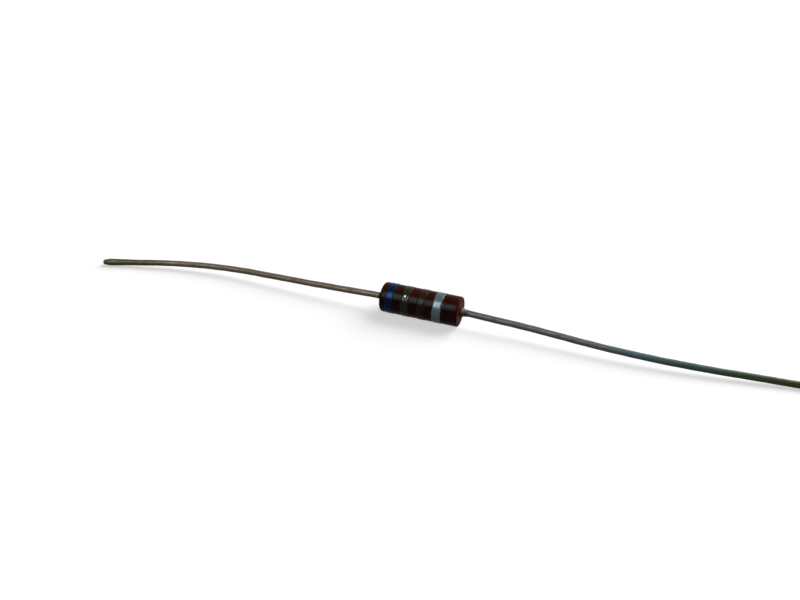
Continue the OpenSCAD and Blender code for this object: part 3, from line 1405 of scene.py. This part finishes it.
@dataclass
class Lead:
    """One wire lead with the headed and ringed end that the element holds.

    Attributes:
        name: Name of the piece.
        node: The node that it stands for.
        side: The end of the body that it leaves.
        droop: Angle by which it is let down to the surface.
        bends: Its straights and sideways bends in turn, from the droop outward.
        outer_end: How its outer end is finished.
        finish: Its finish.
        coat_waves: The waves of its uneven tin coat.
        wire_r: Radius of the wire.
        lead_len: Length of wire outside the jacket.
        exit_straight: Straight wire before it is let down.
        droop_bend_r: Radius of the bend that lets it down.
        grip_len: Length of wire inside the element, head included.
        head_r: Radius of its head.
        head_t: Thickness of its head.
        head_rim_r: Rounding of the head's rims.
        grip_rings: Number of rings behind the head.
        grip_ring_r: Radius of a ring.
        grip_ring_w: Width of a ring at its foot.
        cut_edge_r: Rounding of a cut end.
        tip_r: Radius of a swollen tip.
        tip_len: Length from where the tip has its full radius to the end.
        tip_taper_len: Length over which the wire swells to the tip.
        tip_nose_len: Length over which the tip narrows to its nose, the nose included.
        nose_r: Radius of the nose.
        nose_rim_r: Rounding of the nose.
        sides: Number of sides of a full turn.
        longest_step: Longest step along the wire.
    """

    name: str
    node: str
    side: Side
    droop: float
    bends: tuple[tuple[float, Bend], ...]
    outer_end: OuterEnd
    finish: WireFinish
    coat_waves: tuple[Wave, ...]
    wire_r: float = WIRE_R
    lead_len: float = 38.1
    exit_straight: float = 1.0
    droop_bend_r: float = 6.0
    grip_len: float = 1.5
    head_r: float = 0.65
    head_t: float = 0.36
    head_rim_r: float = 0.12
    grip_rings: int = 2
    grip_ring_r: float = 0.49
    grip_ring_w: float = 0.24
    cut_edge_r: float = 0.08
    tip_r: float = 0.44
    tip_len: float = 1.3
    tip_taper_len: float = 2.6
    tip_nose_len: float = 0.9
    nose_r: float = 0.34
    nose_rim_r: float = 0.28
    sides: int = 48
    longest_step: float = 0.2

    @property
    def anchor_len(self) -> float:
        """Length of wire inside the body."""
        return self.grip_len + END_WALL

    @property
    def length(self) -> float:
        """Length of wire from end to end."""
        return self.anchor_len + self.lead_len

    def centreline(self) -> Centreline:
        """Draws the line that the wire follows.

        Returns:
            The line, from the head outward.
        """
        out = self.side.value
        start = Vector((out * (HALF_BODY - self.anchor_len), 0, 0))
        line = Centreline(start, Vector((out, 0, 0)))
        line.straight(self.anchor_len + self.exit_straight)
        line.bend(Bend(self.droop_bend_r, self.droop, Way.DOWN))
        for straight, bend in self.bends:
            line.straight(straight)
            line.bend(bend)
        line.straight(self.length - line.length)
        return line

    def coat(self) -> Coat:
        """Returns the tin coat, which is even up to the exit and on the outer end."""
        even = self.tip_len if self.outer_end is OuterEnd.SWOLLEN else self.cut_edge_r
        return Coat(self.anchor_len + self.exit_straight, self.length - even, self.coat_waves)

    def profile(self) -> Profile:
        """Draws the outline of the wire.

        Returns:
            The outline, from the middle of its head to that of its outer end.
        """
        outline = Profile(0, 0)
        self._draw_grip(outline)
        if self.outer_end is OuterEnd.SWOLLEN:
            self._draw_swollen_end(outline)
        else:
            outline.line(self.length - self.cut_edge_r, self.wire_r, self.longest_step)
            outline.rim(self.length, self.wire_r, self.cut_edge_r, False)
        return outline.line(self.length, 0)

    def _draw_grip(self, outline: Profile) -> None:
        """Draws the head and the rings that the element holds.

        Args:
            outline: The outline that they are added to.
        """
        outline.line(0, self.head_r - self.head_rim_r)
        outline.rim(0, self.head_r, self.head_rim_r, True)
        outline.line(self.head_t - self.head_rim_r, self.head_r)
        outline.rim(self.head_t, self.head_r, self.head_rim_r, False)
        outline.line(self.head_t, self.wire_r)
        ring_step = (self.grip_len - self.head_t) / (self.grip_rings + 1)
        for ring in range(1, self.grip_rings + 1):
            at = self.head_t + ring * ring_step
            outline.line(at - self.grip_ring_w / 2, self.wire_r)
            outline.line(at - self.grip_ring_w / 4, self.grip_ring_r)
            outline.line(at + self.grip_ring_w / 4, self.grip_ring_r)
            outline.line(at + self.grip_ring_w / 2, self.wire_r)

    def _draw_swollen_end(self, outline: Profile) -> None:
        """Draws the wire's swelling, its tip and the rounded nose.

        Args:
            outline: The outline that they are added to.
        """
        swell_at = self.length - self.tip_len
        outline.line(swell_at - self.tip_taper_len, self.wire_r, self.longest_step)
        outline.line(swell_at, self.tip_r, self.longest_step)
        outline.line(self.length - self.tip_nose_len, self.tip_r, self.longest_step)
        outline.line(self.length - self.nose_rim_r, self.nose_r, self.longest_step)
        outline.rim(self.length, self.nose_r, self.nose_rim_r, False)

    def build(self) -> bpy.types.Object:
        """Makes the lead.

        Returns:
            The piece.
        """
        turning = Turning(self.name, self.profile(), self.centreline(), self.sides)
        piece = turning.build(coat=self.coat())
        mount(piece, self.finish.build(self.name + "_wire", self.length), Slot.WIRE, self.node)
        return piece


# Paints of the four bands
BLUE_PAINT = PaintFinish(
    Slot.BLUE, (0.0016, 0.0125, 0.052), thin=(0.009, 0.005, 0.016), gloss=0.04, metal=0.2
)
GREY_PAINT = PaintFinish(
    Slot.GREY,
    (0.022, 0.023, 0.015),
    thin=(0.026, 0.012, 0.006),
    metal=0.1,
    bead=(-1.64, -1.114, 1.426),
)
BROWN_PAINT = PaintFinish(
    Slot.BROWN, (0.035, 0.0120, 0.0028), thin=(0.034, 0.007, 0.002), gloss=0.045
)
SILVER_PAINT = PaintFinish(
    Slot.SILVER,
    (0.084, 0.107, 0.128),
    thin=(0.064, 0.048, 0.044),
    roughness=(0.26, 0.41),
    gloss=0.08,
    metal=0.36,
    flakes=Pattern(26, low=0.5, strength=0.8),
)

# Colours of the tarnish on the left wire and then on the right one, from the body outward
BROWN_GREY = (0.127, 0.098, 0.068)
PALE_BROWN_GREY = (0.138, 0.113, 0.070)
KHAKI = (0.078, 0.063, 0.033)
OLIVE = (0.066, 0.057, 0.019)
DARK_GREY = (0.066, 0.057, 0.054)
VIOLET_GREY = (0.106, 0.091, 0.096)
BLUE_GREEN = (0.058, 0.098, 0.106)
DARK_GREEN = (0.037, 0.063, 0.050)
DARK_OLIVE = (0.032, 0.044, 0.010)


@dataclass
class Resistor:
    """The whole part: jacket, element, bands and leads.

    Attributes:
        first_band_at: Distance from the left end face to the middle of the first band.
        band_pitch: Distance between the middles of neighbouring bands.
        band_w: Width of the three bands that give the value.
        tolerance_band_w: Width of the band that gives the tolerance.
        first_waver: Angle that sets where the first band's edges waver.
    """

    first_band_at: float = 1.26
    band_pitch: float = 1.93
    band_w: float = 1.0
    tolerance_band_w: float = 1.1
    first_waver: float = 0.7

    def bands(self) -> list[PaintedBand]:
        """Lays out the bands.

        Returns:
            The four bands, from the left.
        """
        rows = [
            ("first_band", "first_digit_band", self.band_w, BLUE_PAINT),
            ("second_band", "second_digit_band", self.band_w, GREY_PAINT),
            ("third_band", "multiplier_band", self.band_w, BROWN_PAINT),
            ("fourth_band", "tolerance_band", self.tolerance_band_w, SILVER_PAINT),
        ]
        start = self.first_band_at - HALF_BODY
        return [
            PaintedBand(
                name, node, start + turn * self.band_pitch, width, finish, turn + self.first_waver
            )
            for turn, (name, node, width, finish) in enumerate(rows)
        ]

    def left_lead(self) -> Lead:
        """Describes the left lead.

        Returns:
            The lead, which sweeps toward the front and ends in a swollen tip.
        """
        tarnish = (
            (0.06, BROWN_GREY),
            (0.50, BROWN_GREY),
            (0.74, PALE_BROWN_GREY),
            (0.84, KHAKI),
            (0.91, OLIVE),
        )
        return Lead(
            "left_wire",
            "left_lead",
            Side.LEFT,
            droop=2.195,
            bends=((3.5, Bend(250, -1.5)), (6.0, Bend(50, 16.2))),
            outer_end=OuterEnd.SWOLLEN,
            finish=WireFinish(tarnish),
            coat_waves=(Wave(16.5, 0, 6.4), Wave(5.7, 1, 6.0), Wave(3.4, -1, 9.0), Wave(2.3, 2, 4.0)),
        )

    def right_lead(self) -> Lead:
        """Describes the right lead.

        Returns:
            The lead, which swings to the front and back again and ends where it was cut.
        """
        tarnish = (
            (0.10, DARK_GREY),
            (0.16, VIOLET_GREY),
            (0.38, VIOLET_GREY),
            (0.54, BLUE_GREEN),
            (0.74, DARK_GREEN),
            (0.94, DARK_OLIVE),
        )
        return Lead(
            "right_wire",
            "right_lead",
            Side.RIGHT,
            droop=2.226,
            bends=((5.0, Bend(85, -2.9)), (2.0, Bend(95, 9.9))),
            outer_end=OuterEnd.CUT,
            finish=WireFinish(tarnish),
            coat_waves=(Wave(18.0, 0, 25.5), Wave(6.4, 1, 10.0), Wave(3.1, 1, 5.8), Wave(2.1, 2, 8.0)),
        )

    def build(self) -> list[bpy.types.Object]:
        """Makes every piece.

        Returns:
            The pieces.
        """
        parts = [Jacket(), Element(), *self.bands(), self.left_lead(), self.right_lead()]
        return [part.build() for part in parts]


@dataclass(frozen=True)
class SoftBox:
    """A soft rectangular studio lamp.

    Attributes:
        name: Its name.
        azimuth: Direction that it stands in, in degrees, counted as the camera's is.
        elevation: Its height above the horizon, in degrees.
        size: Its width and height in metres.
        brightness: How bright its face is, where 1 is a white surface in full light.
        colour: Colour of its light.
        distance: Its distance from the part in metres.
        only_reflected: True where it shows only as a reflection.
    """

    name: str
    azimuth: float
    elevation: float
    size: tuple[float, float]
    brightness: float
    colour: Colour = WHITE
    distance: float = 1.0
    only_reflected: bool = False

    def build(self) -> bpy.types.Object:
        """Makes the lamp, aimed at the middle of the body.

        Returns:
            The lamp's object.
        """
        lamp = bpy.data.lights.new(self.name, "AREA")
        lamp.shape = "RECTANGLE"
        lamp.size, lamp.size_y = self.size
        lamp.energy = self.brightness * self.size[0] * self.size[1] * math.pi
        lamp.color = self.colour
        back = direction(self.azimuth, self.elevation)
        stand = bpy.data.objects.new(self.name, lamp)
        stand.location = back * self.distance
        stand.rotation_euler = (-back).to_track_quat("-Z", "Y").to_euler()
        stand.visible_camera = False
        stand.visible_diffuse = not self.only_reflected
        bpy.context.scene.collection.objects.link(stand)
        return stand


def direction(azimuth: float, elevation: float) -> Vector:
    """Finds the direction from the part to a stand round it.

    Args:
        azimuth: Degrees round from the front, toward the right where positive.
        elevation: Degrees above the horizon.

    Returns:
        The direction, 1 long.
    """
    turn, rise = math.radians(azimuth), math.radians(elevation)
    return Vector((math.sin(turn) * math.cos(rise), -math.cos(turn) * math.cos(rise), math.sin(rise)))


@dataclass
class Studio:
    """The white surface, the soft lamps and the camera at the photo's viewing angle.

    Attributes:
        azimuth: Where the camera stands round the part, in degrees.
        elevation: Its height above the horizon, in degrees.
        distance: Its distance from the point that it is aimed at, in mm.
        aim: That point, in mm.
        lens: Focal length for a sensor 36 mm wide.
        nearest: Nearest distance that the camera sees, in metres.
        farthest: Farthest distance that it sees, in metres.
        floor_size: Width of the surface in metres.
        ambient: Strength of the even light all round.
        lamps: A broad lamp behind and above, and a window above the camera.
    """

    azimuth: float = 20.15
    elevation: float = 34.0
    distance: float = 95.0
    aim: Point = (-2.446, -0.619, 0.387)
    lens: float = 36.625
    nearest: float = 0.001
    farthest: float = 20.0
    floor_size: float = 6.0
    ambient: float = 0.1
    lamps: tuple[SoftBox, ...] = (
        SoftBox("back_lamp", 142, 37, (0.9, 0.9), 6.8),
        SoftBox("window", -27, 50, (0.28, 0.7), 18.0, colour=(0.85, 1.0, 0.97), only_reflected=True),
    )

    def build_camera(self) -> None:
        """Sets up the camera."""
        data = bpy.data.cameras.new("camera")
        data.lens = self.lens
        data.clip_start = self.nearest
        data.clip_end = self.farthest
        back = direction(self.azimuth, self.elevation)
        camera = bpy.data.objects.new("camera", data)
        camera.location = (Vector(self.aim) + back * self.distance) * MM
        camera.rotation_euler = (-back).to_track_quat("-Z", "Y").to_euler()
        bpy.context.scene.collection.objects.link(camera)
        bpy.context.scene.camera = camera

    def build_floor(self) -> None:
        """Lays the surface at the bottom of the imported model's box."""
        half = self.floor_size / 2
        height = CAD_BOX[0].z
        mesh = bpy.data.meshes.new("surface")
        corners = [(-half, -half), (half, -half), (half, half), (-half, half)]
        mesh.from_pydata([(x, y, height) for x, y in corners], [], [(0, 1, 2, 3)])
        mesh.materials.append(FloorFinish().build())
        surface = bpy.data.objects.new("surface", mesh)
        bpy.context.scene.collection.objects.link(surface)

    def build_world(self) -> None:
        """Sets a dim even light all round, seen as white."""
        world = bpy.data.worlds.new("studio")
        world.use_nodes = True
        bpy.context.scene.world = world
        tree = world.node_tree
        dim = tree.nodes["Background"]
        dim.inputs["Color"].default_value = (*WHITE, 1)
        dim.inputs["Strength"].default_value = self.ambient
        white = tree.nodes.new("ShaderNodeBackground")
        white.inputs["Color"].default_value = (*WHITE, 1)
        white.inputs["Strength"].default_value = 1
        either = tree.nodes.new("ShaderNodeMixShader")
        tree.links.new(seen_rays(tree), either.inputs["Fac"])
        tree.links.new(dim.outputs[0], either.inputs[1])
        tree.links.new(white.outputs[0], either.inputs[2])
        tree.links.new(either.outputs[0], tree.nodes["World Output"].inputs["Surface"])

    def build(self) -> None:
        """Builds the whole studio."""
        self.build_camera()
        self.build_floor()
        self.build_world()
        for lamp in self.lamps:
            lamp.build()
        bpy.context.scene.view_settings.view_transform = "Standard"


def main() -> None:
    """Builds the studio and the part, and reports each piece."""
    logging.basicConfig(level=logging.INFO, format="%(message)s")
    Studio().build()
    for piece in Resistor().build():
        LOG.info("%s: %d faces", piece.name, len(piece.data.polygons))


if __name__ == "__main__":
    main()
